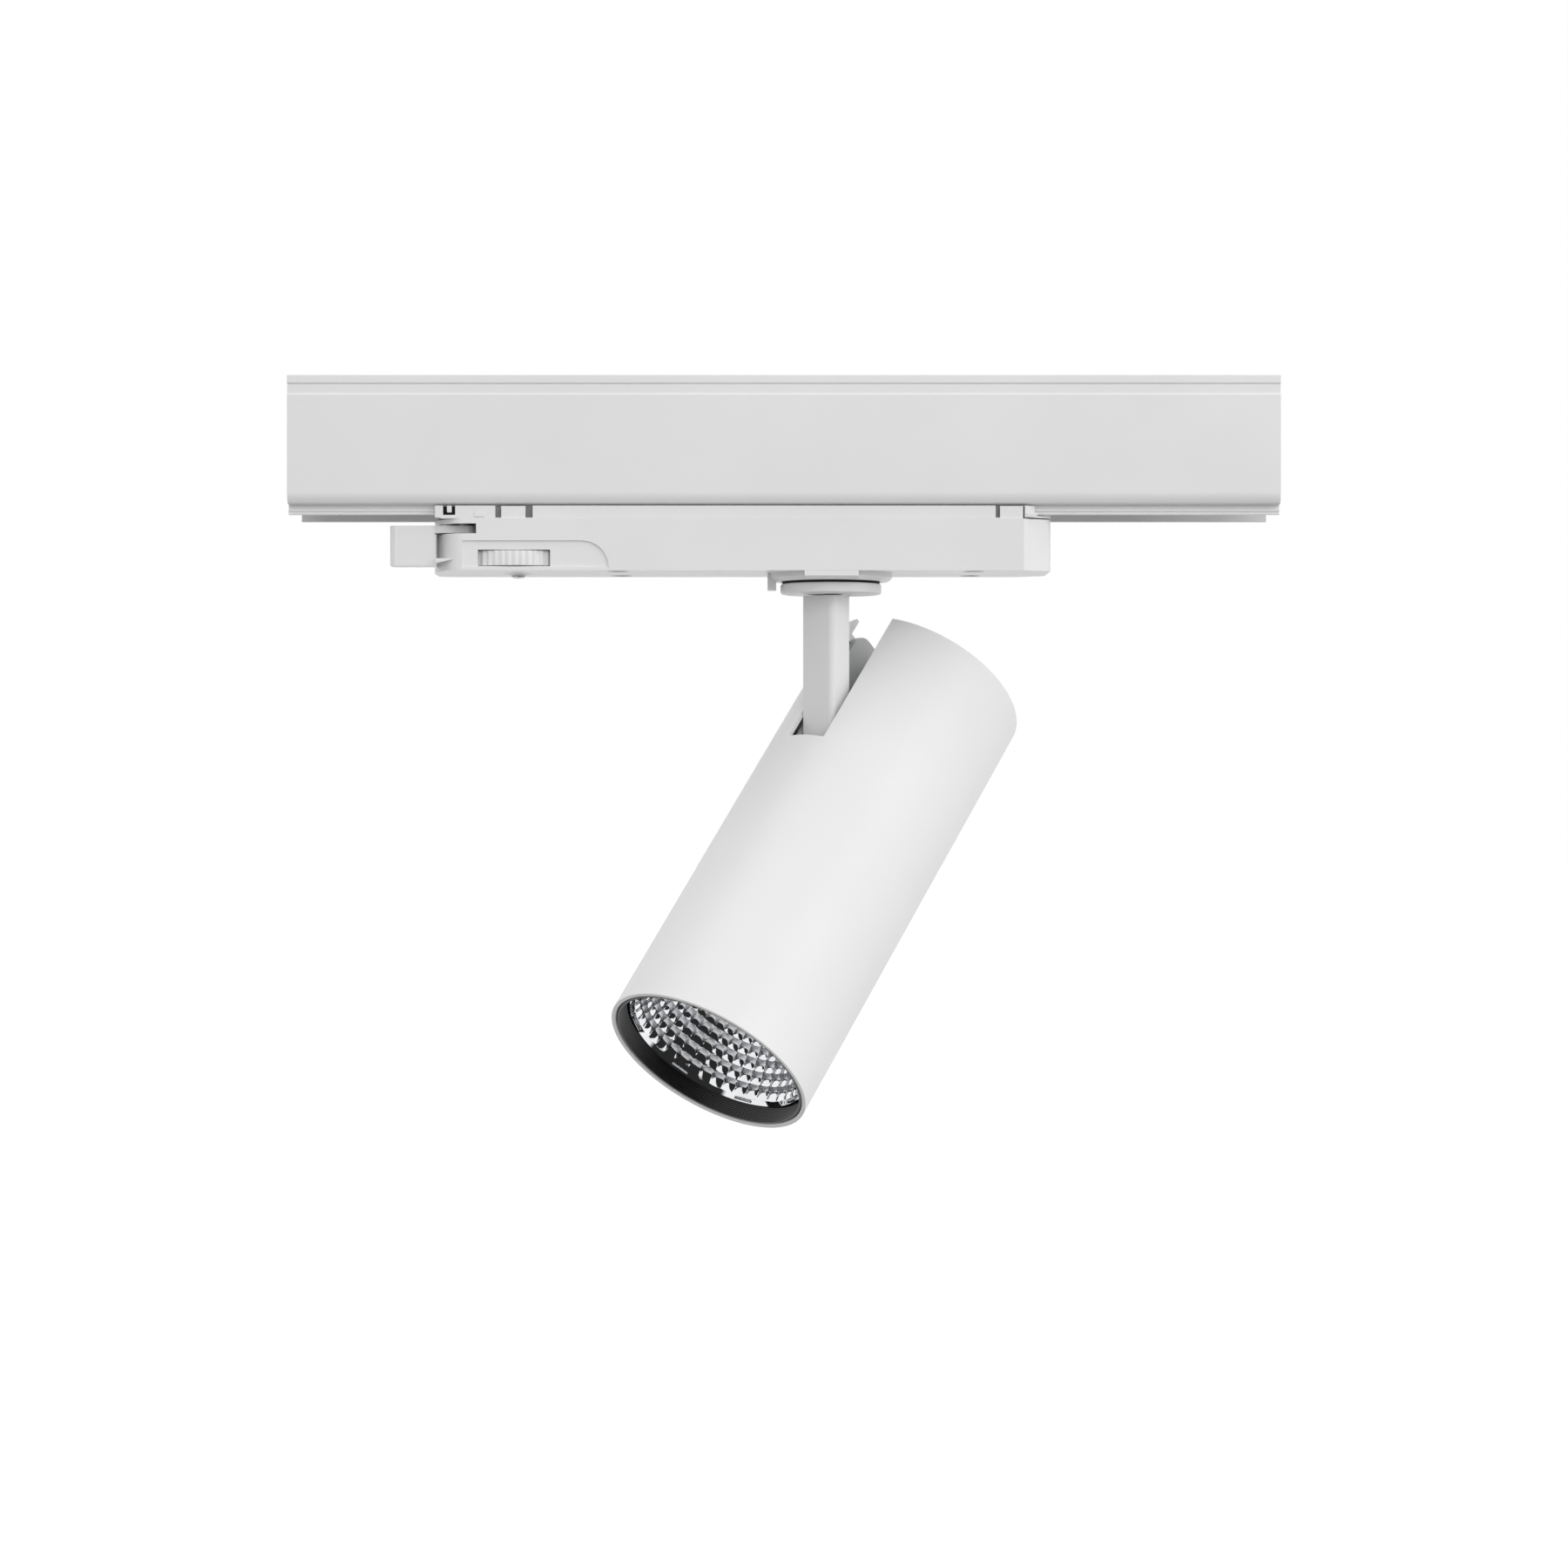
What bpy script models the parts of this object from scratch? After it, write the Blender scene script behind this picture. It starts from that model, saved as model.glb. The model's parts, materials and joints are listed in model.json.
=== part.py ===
"""Track spotlight: a short three-circuit track, its adapter, the pan and tilt arm and the lamp head."""

import math

import bmesh
import bpy
from mathutils import Vector

MM = 0.001
GAP = 0.3

# Track section, millimetres. The track runs along X and its top face is at Z = 0.
TRACK_HALF_LENGTH = 125.0
TRACK_HALF_WIDTH = 18.0
TRACK_BOTTOM = -32.5
TRACK_LEG_BOTTOM = -35.0
TRACK_INNER = 16.4
LIP_TOP = -26.0
LIP_BOTTOM = -28.0
LIP_REACH = 12.2
LEG_INNER = 13.6
LEG_OUTER = 14.8
CONDUCTOR_LEVELS = (-10.2, -18.2)

# Adapter.
ADAPTER_LEFT = -87.9
ADAPTER_RIGHT = 67.4
ADAPTER_HALF_WIDTH = 17.2
HOUSING_TOP = -36.1
HOUSING_BOTTOM = -49.1
HOUSING_WALL = 1.4
HOUSING_FLOOR = 1.1
HOUSING_LEFT = -89.5
END_CURVE_Y = 4.0
SKIRT_HALF_WIDTH = 16.7
SKIRT_TOP = -32.8
INSERT_HALF_WIDTH = 9.8
INSERT_TOP = -8.0
INSERT_LEFT = -74.5
INSERT_RIGHT = 64.0
TAB_SPANS = ((-71.2, -65.1), (54.4, 60.2))
TAB_NOTCHES = ((-72.7, -63.3), (53.3, 60.6))
SCREW_FIRST_X = -42.0
SCREW_STEP_X = 90.0
SCREW_Y = 11.0

# Latch lever and circuit dial.
LEVER_X = -80.8
LEVER_Y = -10.2
LEVER_HALF = 4.4
LEVER_END = -99.5
ARM_HALF = 3.0
ARM_TOP = -37.6
ARM_LOW = -39.5
GRIP_START = -88.9
GRIP_END_SLANT = 0.8
RIB_DEPTH = 0.12
DIAL_X = -67.9
DIAL_RADIUS = 17.4
DIAL_TOP = -44.05
DIAL_BOTTOM = -47.85
DIAL_FLUTES = 64
FLUTE_DEPTH = 0.25

# Swivel and arm.
PAN_X = 12.0
PAN_ANGLE = math.radians(-133.0)
BOSS_BOTTOM = -51.2
BRIDGE_HALF = 6.8
DISK_RADIUS = 12.9
DISK_TOP = -51.7
DISK_BOTTOM = -54.5
TUBE_RADIUS = 4.8
ARM_HALF_WIDTH = 5.05
ARM_HALF_DEPTH = 3.25
HINGE_X = 1.8
HINGE_Z = -92.2
TILT_ANGLE = math.radians(40.7)

# Lamp head. Its frame starts at the hinge: X to the slot side, Z to the rear.
HEAD_RADIUS = 27.0
HEAD_INNER = 25.9
HEAD_AXIS_X = -18.9
HEAD_REAR = 36.0
HEAD_FRONT = -88.7
SLOT_LEFT = -5.35
SLOT_RIGHT = 6.8
SLOT_END = -4.5
SINK_TOP = -9.0
SINK_BOTTOM = -46.0
REFLECTOR_FRONT = -84.3
BOWL_POWER = 0.85
CHEEK_REAR = 34.9
CHEEK_REACH = 3.9


def clear_scene():
    for item in list(bpy.data.objects):
        bpy.data.objects.remove(item, do_unlink=True)


def make_material(name, colour, roughness, metallic):
    material = bpy.data.materials.new(name)
    material.use_nodes = True
    shader = material.node_tree.nodes["Principled BSDF"]
    shader.inputs["Base Color"].default_value = (*colour, 1.0)
    shader.inputs["Roughness"].default_value = roughness
    shader.inputs["Metallic"].default_value = metallic
    return material


def make_empty(name, place, angles=(0.0, 0.0, 0.0), parent=None):
    empty = bpy.data.objects.new(name, None)
    empty.location = Vector(place) * MM
    empty.rotation_euler = angles
    empty.parent = parent
    bpy.context.scene.collection.objects.link(empty)
    return empty


def add_object(name, shape, material, parent, place=(0.0, 0.0, 0.0)):
    """Makes an object from a bmesh in millimetres. With no material it is a helper that isn't rendered."""
    bmesh.ops.recalc_face_normals(shape, faces=shape.faces)
    bmesh.ops.scale(shape, vec=(MM, MM, MM), verts=shape.verts)
    mesh = bpy.data.meshes.new(name)
    shape.to_mesh(mesh)
    shape.free()
    item = bpy.data.objects.new(name, mesh)
    item.location = Vector(place) * MM
    item.parent = parent
    if material:
        mesh.materials.append(material)
    else:
        item.hide_render = True
        item.display_type = "WIRE"
    bpy.context.scene.collection.objects.link(item)
    return item


def turned(point, axis):
    """The point (u, v, w) with w along the named axis."""
    u, v, w = point
    if axis == "X":
        return (w, u, v)
    if axis == "Y":
        return (v, w, u)
    return (u, v, w)


def prism(outline, low, high, axis="Z"):
    shape = bmesh.new()
    lower = [shape.verts.new(turned((u, v, low), axis)) for u, v in outline]
    upper = [shape.verts.new(turned((u, v, high), axis)) for u, v in outline]
    shape.faces.new(lower)
    shape.faces.new(upper)
    count = len(outline)
    for i in range(count):
        j = (i + 1) % count
        shape.faces.new((lower[i], lower[j], upper[j], upper[i]))
    return shape


def box(low, high):
    outline = [(low[0], low[1]), (high[0], low[1]), (high[0], high[1]), (low[0], high[1])]
    return prism(outline, low[2], high[2])


def lathe(profile, sides, axis="Z"):
    """Turns a closed profile of (radius, height) points about the axis."""
    shape = bmesh.new()
    rings = []
    for radius, height in profile:
        if radius == 0.0:
            rings.append([shape.verts.new(turned((0.0, 0.0, height), axis))])
            continue
        ring = []
        for i in range(sides):
            angle = 2.0 * math.pi * i / sides
            spot = (radius * math.cos(angle), radius * math.sin(angle), height)
            ring.append(shape.verts.new(turned(spot, axis)))
        rings.append(ring)
    for first, second in zip(rings, rings[1:] + rings[:1]):
        join_rings(shape, first, second, sides)
    return shape


def join_rings(shape, first, second, sides):
    if len(first) == 1 and len(second) == 1:
        return
    for i in range(sides):
        j = (i + 1) % sides
        if len(first) == 1:
            shape.faces.new((first[0], second[j], second[i]))
        elif len(second) == 1:
            shape.faces.new((first[i], first[j], second[0]))
        else:
            shape.faces.new((first[i], first[j], second[j], second[i]))


def ring_profile(inner, outer, low, high):
    return [(inner, low), (outer, low), (outer, high), (inner, high)]


def disc_profile(radius, low, high):
    return [(0.0, low), (radius, low), (radius, high), (0.0, high)]


def arc(centre, radius, start, end, steps):
    """Points on an arc, with the angles in degrees."""
    points = []
    for i in range(steps + 1):
        angle = math.radians(start + (end - start) * i / steps)
        points.append((centre[0] + radius * math.cos(angle), centre[1] + radius * math.sin(angle)))
    return points


def mirrored(half):
    """A closed outline from its right half, mirrored over the first coordinate."""
    return half + [(-u, v) for u, v in reversed(half)]


def combine(target, other, operation, name):
    modifier = target.modifiers.new(name, "BOOLEAN")
    modifier.operation = operation
    modifier.solver = "EXACT"
    modifier.object = other


def cut(target, shape, parent, name, place=(0.0, 0.0, 0.0)):
    combine(target, add_object(name, shape, None, parent, place), "DIFFERENCE", name)


def add_to(target, shape, parent, name, place=(0.0, 0.0, 0.0)):
    combine(target, add_object(name, shape, None, parent, place), "UNION", name)


def build_track(paint, black, copper):
    half = [
        (TRACK_HALF_WIDTH, 0.0),
        (TRACK_HALF_WIDTH, -2.0),
        (17.5, -2.3),
        (17.7, -2.6),
        (17.7, -4.6),
        (TRACK_HALF_WIDTH, -4.9),
        (TRACK_HALF_WIDTH, -29.5),
        (17.6, -31.1),
        (16.8, -32.1),
        (15.9, TRACK_BOTTOM),
        (14.2, TRACK_BOTTOM),
        (14.2, -33.6),
        (LEG_OUTER, -33.6),
        (LEG_OUTER, -34.15),
        (LEG_OUTER - 0.4, -34.25),
        (LEG_OUTER - 0.4, -34.55),
        (LEG_OUTER, -34.65),
        (LEG_OUTER, TRACK_LEG_BOTTOM),
        (LEG_INNER, TRACK_LEG_BOTTOM),
        (LEG_INNER, LIP_BOTTOM),
        (LIP_REACH, LIP_BOTTOM),
        (LIP_REACH, LIP_TOP),
        (TRACK_INNER, LIP_TOP),
        (TRACK_INNER, -5.6),
        (12.4, -5.6),
        (12.4, -3.8),
        (10.6, -3.8),
        (10.6, -2.2),
    ]
    shape = prism(mirrored(half), -TRACK_HALF_LENGTH, TRACK_HALF_LENGTH, "X")
    add_object("track_profile", shape, paint, None)
    for side, word in ((-1.0, "front"), (1.0, "back")):
        build_insulator(side, word, black)
        for number, level in enumerate(CONDUCTOR_LEVELS, 1):
            outline = [(side * 13.2, level - 0.5), (side * 14.3, level - 0.5)]
            outline += [(side * 14.3, level + 0.5), (side * 13.2, level + 0.5)]
            strip = prism(outline, 2.0 - TRACK_HALF_LENGTH, TRACK_HALF_LENGTH - 2.0, "X")
            add_object(f"track_conductor_{word}_{number}", strip, copper, None)


def build_insulator(side, word, black):
    """The strip that holds two copper conductors in open grooves."""
    outer = TRACK_INNER - GAP
    inner = 12.6
    outline = [(outer, -22.9), (inner, -22.9)]
    for level in reversed(CONDUCTOR_LEVELS):
        outline += [(inner, level - 0.8), (14.6, level - 0.8)]
        outline += [(14.6, level + 0.8), (inner, level + 0.8)]
    outline += [(inner, -5.9), (outer, -5.9)]
    outline = [(side * u, v) for u, v in outline]
    shape = prism(outline, 0.5 - TRACK_HALF_LENGTH, TRACK_HALF_LENGTH - 0.5, "X")
    add_object(f"track_insulator_{word}", shape, black, None)


def housing_outline(inset):
    """The plan of the lower housing, drawn inwards by the inset."""
    left = HOUSING_LEFT + inset
    right = ADAPTER_RIGHT - inset
    side = ADAPTER_HALF_WIDTH - inset
    front = []
    for u, v in arc((0.0, 0.0), 1.0, 180.0, 270.0, 9):
        front.append((LEVER_X + u * (LEVER_X - left), END_CURVE_Y + v * (END_CURVE_Y + side)))
    front += [(right - 7.0, -side), (right - 0.8, 4.6 - side), (right, 6.2 - side)]
    back = [(right, side - 6.2), (right - 0.8, side - 4.6), (right - 7.0, side)]
    return front + back + arc((left + 3.0, side - 3.0), 3.0, 90.0, 180.0, 3)


def build_lower_housing(paint, parent):
    shape = prism(housing_outline(0.0), HOUSING_BOTTOM, HOUSING_TOP)
    housing = add_object("adapter_lower_housing", shape, paint, parent)
    boss = [(0.0, BOSS_BOTTOM), (14.6, BOSS_BOTTOM), (15.2, -50.8)]
    boss += [(15.7, -50.2), (15.7, -48.6), (0.0, -48.6)]
    add_to(housing, lathe(boss, 48), parent, "swivel_boss", (PAN_X, 0.0, 0.0))
    side = ADAPTER_HALF_WIDTH - 0.05
    bridge = [(-side, -48.8), (-side, -50.4), (1.0 - side, BOSS_BOTTOM + 0.1)]
    bridge += [(side - 1.0, BOSS_BOTTOM + 0.1), (side, -50.4), (side, -48.8)]
    add_to(housing, prism(bridge, PAN_X - BRIDGE_HALF, PAN_X + BRIDGE_HALF, "X"), parent, "boss_bridge")
    dish = lathe([(0.0, -49.75), (1.9, -49.75), (4.2, -49.0), (4.2, -48.7), (0.0, -48.7)], 24)
    add_to(housing, dish, parent, "dial_rim", (DIAL_X, 0.0, 0.0))
    add_to(housing, box((-4.2, -3.0, -53.4), (-2.0, 3.0, -48.9)), parent, "stop_tab")
    add_side_tabs(housing, parent)
    inner = prism(housing_outline(HOUSING_WALL), HOUSING_BOTTOM + HOUSING_FLOOR, HOUSING_TOP + 1.0)
    cut(housing, inner, parent, "housing_hollow")
    add_screw_posts(housing, parent)
    cut_housing_openings(housing, parent)


def add_side_tabs(housing, parent):
    for index, span in enumerate(TAB_SPANS):
        for side, word in ((-1.0, "front"), (1.0, "back")):
            y_values = sorted((side * 15.95, side * SKIRT_HALF_WIDTH))
            low = (span[0], y_values[0], HOUSING_TOP - 1.0)
            high = (span[1], y_values[1], SKIRT_TOP - 0.1)
            add_to(housing, box(low, high), parent, f"snap_tab_{word}_{index}")


def screw_places():
    xs = (SCREW_FIRST_X, SCREW_FIRST_X + SCREW_STEP_X)
    return [(x, y) for x in xs for y in (-SCREW_Y, SCREW_Y)]


def four_of(shape, name, parent):
    """A helper with the shape at each of the four screw places."""
    helper = add_object(name, shape, None, parent, (SCREW_FIRST_X, -SCREW_Y, 0.0))
    for index, step in enumerate(((SCREW_STEP_X, 0.0), (0.0, 2.0 * SCREW_Y))):
        array = helper.modifiers.new(f"row_{index}", "ARRAY")
        array.count = 2
        array.use_relative_offset = False
        array.use_constant_offset = True
        array.constant_offset_displace = Vector((step[0], step[1], 0.0)) * MM
    return helper


def add_screw_posts(housing, parent):
    post = lathe(disc_profile(3.4, HOUSING_BOTTOM + 0.4, HOUSING_TOP - GAP), 16)
    combine(housing, four_of(post, "post_row", parent), "UNION", "posts")
    profile = [(0.0, -50.0), (2.8, -50.0), (2.8, -46.6), (1.6, -46.6), (1.6, -35.0), (0.0, -35.0)]
    combine(housing, four_of(lathe(profile, 12), "post_hole_row", parent), "DIFFERENCE", "post_holes")


def cut_housing_openings(housing, parent):
    slot_right = LEVER_X + ARM_HALF + GAP
    arm_slot = box((-91.0, -18.5, ARM_LOW - GAP), (slot_right, ARM_HALF + GAP + LEVER_Y, ARM_TOP + GAP))
    cut(housing, arm_slot, parent, "lever_slot")
    window = box((-77.1, -18.5, -48.05), (-58.9, 18.5, -43.9))
    cut(housing, window, parent, "dial_window")
    panel = [(-80.9, -48.3), (-80.9, -41.6), (-50.8, -41.6)]
    panel += [(x, z) for x, z in reversed(arc((-50.8, -48.3), 6.7, 0.0, 90.0, 5))][1:]
    for side, word in ((-1.0, "front"), (1.0, "back")):
        y_values = sorted((side * (ADAPTER_HALF_WIDTH - 0.5), side * 18.5))
        outline = [(z, x) for x, z in panel]
        cut(housing, prism(outline, y_values[0], y_values[1], "Y"), parent, f"panel_{word}")
    pin = lathe(disc_profile(1.6, -51.0, -46.0), 16)
    cut(housing, pin, parent, "dial_screw_hole", (DIAL_X, 0.0, 0.0))
    bore = lathe(disc_profile(6.3, -56.0, -44.0), 24)
    cut(housing, bore, parent, "swivel_bore", (PAN_X, 0.0, 0.0))


def build_upper_body(paint, parent):
    half = [
        (LIP_REACH - GAP, LIP_TOP + 0.2),
        (LIP_REACH - GAP, LIP_BOTTOM - GAP),
        (LEG_INNER - GAP, LIP_BOTTOM - GAP),
        (LEG_INNER - GAP, TRACK_LEG_BOTTOM - GAP),
        (LEG_OUTER + GAP, TRACK_LEG_BOTTOM - GAP),
        (LEG_OUTER + GAP, SKIRT_TOP),
        (SKIRT_HALF_WIDTH, SKIRT_TOP),
        (SKIRT_HALF_WIDTH, HOUSING_TOP + GAP),
    ]
    shape = prism(mirrored(half), ADAPTER_LEFT, ADAPTER_RIGHT, "X")
    body = add_object("adapter_upper_body", shape, paint, parent)
    insert = box((INSERT_LEFT, -INSERT_HALF_WIDTH, -30.0), (INSERT_RIGHT, INSERT_HALF_WIDTH, INSERT_TOP))
    add_to(body, insert, parent, "insert")
    hollow = box((INSERT_LEFT + 1.2, -8.6, -40.0), (INSERT_RIGHT - 1.2, 8.6, INSERT_TOP - 1.2))
    cut(body, hollow, parent, "insert_hollow")
    for index, span in enumerate(TAB_NOTCHES):
        for side, word in ((-1.0, "front"), (1.0, "back")):
            y_values = sorted((side * (LEG_OUTER + 0.15), side * 20.0))
            low = (span[0], y_values[0], -40.0)
            high = (span[1], y_values[1], -30.0)
            cut(body, box(low, high), parent, f"tab_notch_{word}_{index}")
    bevel_body_end(body, parent)
    cut(body, lathe(disc_profile(2.1, -40.0, -20.0), 16), parent, "lever_bore", (LEVER_X, LEVER_Y, 0.0))
    hole = lathe(disc_profile(1.6, -40.0, -29.3), 12)
    combine(body, four_of(hole, "body_hole_row", parent), "DIFFERENCE", "body_holes")
    for side in (-1.0, 1.0):
        y_values = sorted((side * (LEG_OUTER + 0.15), side * 20.0))
        window = box((-85.9, y_values[0], -35.15), (-82.8, y_values[1], -30.0))
        cut(body, window, parent, f"end_window_{int(side)}")
    cut(body, box((19.6, 8.0, -11.1), (32.4, 12.0, -9.3)), parent, "neutral_window")
    cut(body, box((-64.4, -12.0, -19.1), (-55.6, -8.0, -17.3)), parent, "live_window")
    cut(body, box((39.6, -1.9, -10.0), (50.4, 1.9, -6.0)), parent, "earth_window")


def bevel_body_end(body, parent):
    """Takes the skirt's right corners back to the housing's own bevel."""
    for side in (-1.0, 1.0):
        wedge = [(ADAPTER_RIGHT - 6.4, side * 22.0), (ADAPTER_RIGHT - 6.4, side * 16.75)]
        wedge += [(ADAPTER_RIGHT + 1.0, side * 11.3), (ADAPTER_RIGHT + 1.0, side * 22.0)]
        cut(body, prism(wedge, -36.5, -30.0), parent, f"end_bevel_{int(side)}")


def build_driver(parent, mats):
    board = box((-52.0, -8.2, -33.0), (58.0, 8.2, -31.4))
    add_object("driver_board", board, mats["board"], parent)
    add_object("transformer", box((-12.0, -6.5, -31.1), (10.0, 6.5, -16.0)), mats["black"], parent)
    can = lathe(disc_profile(5.0, -31.1, -13.0), 20)
    add_object("capacitor", can, mats["black"], parent, (24.0, 0.0, 0.0))
    coil = lathe(ring_profile(2.2, 6.0, -31.1, -24.0), 20)
    add_object("choke", coil, mats["copper"], parent, (-34.0, 0.0, 0.0))
    add_object("terminal_block", box((38.0, -6.0, -31.1), (54.0, 6.0, -22.0)), mats["dark"], parent)
    contacts = (
        ("neutral_contact", (20.0, 5.6, -10.7), (32.0, 12.9, -9.7)),
        ("live_contact", (-64.0, -12.9, -18.7), (-56.0, -5.2, -17.7)),
        ("earth_contact", (40.0, -1.5, -18.0), (50.0, 1.5, -2.5)),
    )
    for name, low, high in contacts:
        add_object(name, box(low, high), mats["copper"], parent)
    for index, (x, y) in enumerate(screw_places(), 1):
        profile = [(0.0, -48.8), (2.5, -48.8), (2.5, -46.9), (1.3, -46.9), (1.3, -29.8), (0.0, -29.8)]
        add_object(f"housing_screw_{index}", lathe(profile, 12), mats["steel"], parent, (x, y, 0.0))


def grip_outline():
    """The plan of the grip, about the lever axis, with ribs on both long sides and the end."""
    left = LEVER_END - LEVER_X
    right = GRIP_START - LEVER_X
    points = [(right + GRIP_END_SLANT, -LEVER_HALF)]
    count = 9
    pitch = (right - left - 1.2) / count
    for i in range(count):
        x = right - 0.3 - i * pitch
        points += [(x, RIB_DEPTH - LEVER_HALF), (x - pitch / 2.0, -LEVER_HALF)]
    points += [(left + 0.5, 0.5 - LEVER_HALF), (left, 1.6 - LEVER_HALF), (left, LEVER_HALF - 1.6)]
    points += [(left + 0.5, LEVER_HALF - 0.5)]
    for i in reversed(range(count)):
        x = right - 0.3 - i * pitch
        points += [(x - pitch / 2.0, LEVER_HALF), (x, LEVER_HALF - RIB_DEPTH)]
    return points + [(right, LEVER_HALF)]


def build_lever(parent, paint, steel):
    grip = prism(grip_outline(), -47.8, ARM_TOP - 0.1)
    lever = add_object("lock_lever", grip, paint, parent)
    arm = [(-12.0, -ARM_HALF)]
    arm += arc((0.0, 0.0), ARM_HALF, -90.0, 90.0, 9)
    arm += [(-12.0, ARM_HALF)]
    add_to(lever, prism(arm, ARM_LOW, ARM_TOP), parent, "lever_arm")
    cut(lever, lathe(disc_profile(2.1, -45.0, -30.0), 16), parent, "lever_hole")
    profile = [(0.0, -41.4), (2.8, -41.4), (2.8, -39.8), (1.8, -39.8), (1.8, -22.0), (0.0, -22.0)]
    add_object("lever_shaft", lathe(profile, 16), steel, parent)
    cam = [(-2.2, 0.0), (-1.9, -3.2), (1.9, -3.2)]
    cam += arc((0.0, 0.0), 3.1, -20.0, 200.0, 9)
    latch = add_object("latch_cam", prism(cam, -25.6, -23.3), steel, parent)
    cut(latch, lathe(disc_profile(2.1, -30.0, -20.0), 16), parent, "cam_hole")


def flute_outline():
    points = []
    for i in range(DIAL_FLUTES):
        for step, depth in ((0.0, 0.0), (0.3, 0.0), (0.5, FLUTE_DEPTH), (0.8, FLUTE_DEPTH)):
            radius = DIAL_RADIUS - depth
            angle = 2.0 * math.pi * (i + step) / DIAL_FLUTES
            points.append((radius * math.cos(angle), radius * math.sin(angle)))
    return points


def build_dial(parent, dark, steel):
    dial = add_object("circuit_dial", prism(flute_outline(), DIAL_BOTTOM, DIAL_TOP), dark, parent)
    cut(dial, lathe(disc_profile(2.4, -50.0, -40.0), 16), parent, "dial_hole")
    profile = [(0.0, -44.6), (1.6, -44.6), (1.6, -47.9), (2.1, -47.9), (2.1, -11.0), (0.0, -11.0)]
    add_object("dial_shaft", lathe(profile, 16), dark, parent)
    cam = [(2.6, -2.6), (2.9, 0.0)]
    cam += arc((0.0, 0.0), 2.9, 15.0, 165.0, 7)
    cam += [(-2.9, 0.0), (-2.6, -2.6), (-1.2, -4.8), (1.2, -4.8)]
    selector = add_object("selector_cam", prism(cam, -20.5, -16.0), dark, parent)
    cut(selector, lathe(disc_profile(2.4, -25.0, -10.0), 16), parent, "selector_hole")


def build_swivel(adapter, pan, mats):
    bush = [(5.1, -51.0), (6.0, -51.0), (6.0, -47.7), (8.6, -47.7), (8.6, -46.9), (5.1, -46.9)]
    add_object("swivel_bush", lathe(bush, 24), mats["dark"], adapter, (PAN_X, 0.0, 0.0))
    screw = [(0.0, -50.3), (1.3, -50.3), (1.8, -50.0), (1.8, -49.85), (1.3, -49.85)]
    screw += [(1.3, -44.9), (0.0, -44.9)]
    add_object("dial_screw", lathe(screw, 12), mats["steel"], adapter, (DIAL_X, 0.0, 0.0))
    rings = (
        ("swivel_gasket", ring_profile(5.4, 12.6, -51.6, -51.3), mats["black"], 48),
        ("spring_washer", ring_profile(5.1, 8.2, -46.6, -45.9), mats["steel"], 24),
        ("swivel_nut", ring_profile(6.0, 8.6, -45.6, -42.2), mats["steel"], 6),
    )
    for name, profile, material, sides in rings:
        add_object(name, lathe(profile, sides), material, pan)
    disk = [(5.1, DISK_BOTTOM), (DISK_RADIUS, DISK_BOTTOM), (DISK_RADIUS, DISK_TOP - 0.5)]
    disk += [(DISK_RADIUS - 0.5, DISK_TOP), (5.1, DISK_TOP)]
    add_object("swivel_disk", lathe(disk, 48), mats["paint"], pan)
    tube = lathe(ring_profile(3.4, TUBE_RADIUS, DISK_BOTTOM, -40.5), 24)
    add_object("swivel_tube", tube, mats["steel"], pan)


def build_arm(pan, paint):
    """The arm that hangs from the disk, with the hinge eye at its lower end."""
    front = HINGE_X + ARM_HALF_DEPTH
    rear = HINGE_X - ARM_HALF_DEPTH
    side = ARM_HALF_WIDTH
    outline = [(rear, -side), (front, -side)]
    outline += arc((front - 1.5, side - 1.5), 1.5, 0.0, 90.0, 5)
    outline += [(rear, side)]
    arm = add_object("stem_arm", prism(outline, HINGE_Z - 3.3, DISK_BOTTOM - GAP), paint, pan)
    scoop = [(-8.0, -78.0), (rear, -78.0), (rear + 0.5, -82.0), (rear, HINGE_Z)]
    scoop += arc((HINGE_X, HINGE_Z), ARM_HALF_DEPTH, 180.0, 360.0, 10)[1:]
    scoop += [(12.0, HINGE_Z), (12.0, -99.0), (-8.0, -99.0)]
    flipped = [(z, x) for x, z in scoop]
    cut(arm, prism(flipped, -9.0, 9.0, "Y"), pan, "eye_scoop")
    eye = lathe(disc_profile(1.8, -9.0, 9.0), 16, "Y")
    cut(arm, eye, pan, "eye_hole", (HINGE_X, 0.0, HINGE_Z))


def build_head_shell(tilt, mats):
    axis = (HEAD_AXIS_X, 0.0, 0.0)
    shell = lathe(ring_profile(HEAD_INNER, HEAD_RADIUS, HEAD_FRONT, HEAD_REAR), 64)
    tube = add_object("head_tube", shell, mats["paint"], tilt, axis)
    cut(tube, box((-10.0, SLOT_LEFT, SLOT_END), (20.0, SLOT_RIGHT, HEAD_REAR + 5.0)), tilt, "arm_slot")
    plate = lathe(disc_profile(HEAD_INNER - GAP, 31.4, 33.4), 48)
    cover = add_object("rear_cover", plate, mats["paint"], tilt, axis)
    cut(cover, box((-7.4, -7.6, 25.0), (20.0, 7.6, 40.0)), tilt, "cover_slot")
    lip = REFLECTOR_FRONT + 0.6
    baffle = [(25.0, -88.3), (25.6, -88.3), (25.6, -81.0), (25.2, -81.0), (25.2, lip), (25.0, lip)]
    add_object("front_baffle", lathe(baffle, 64), mats["black"], tilt, axis)


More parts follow.
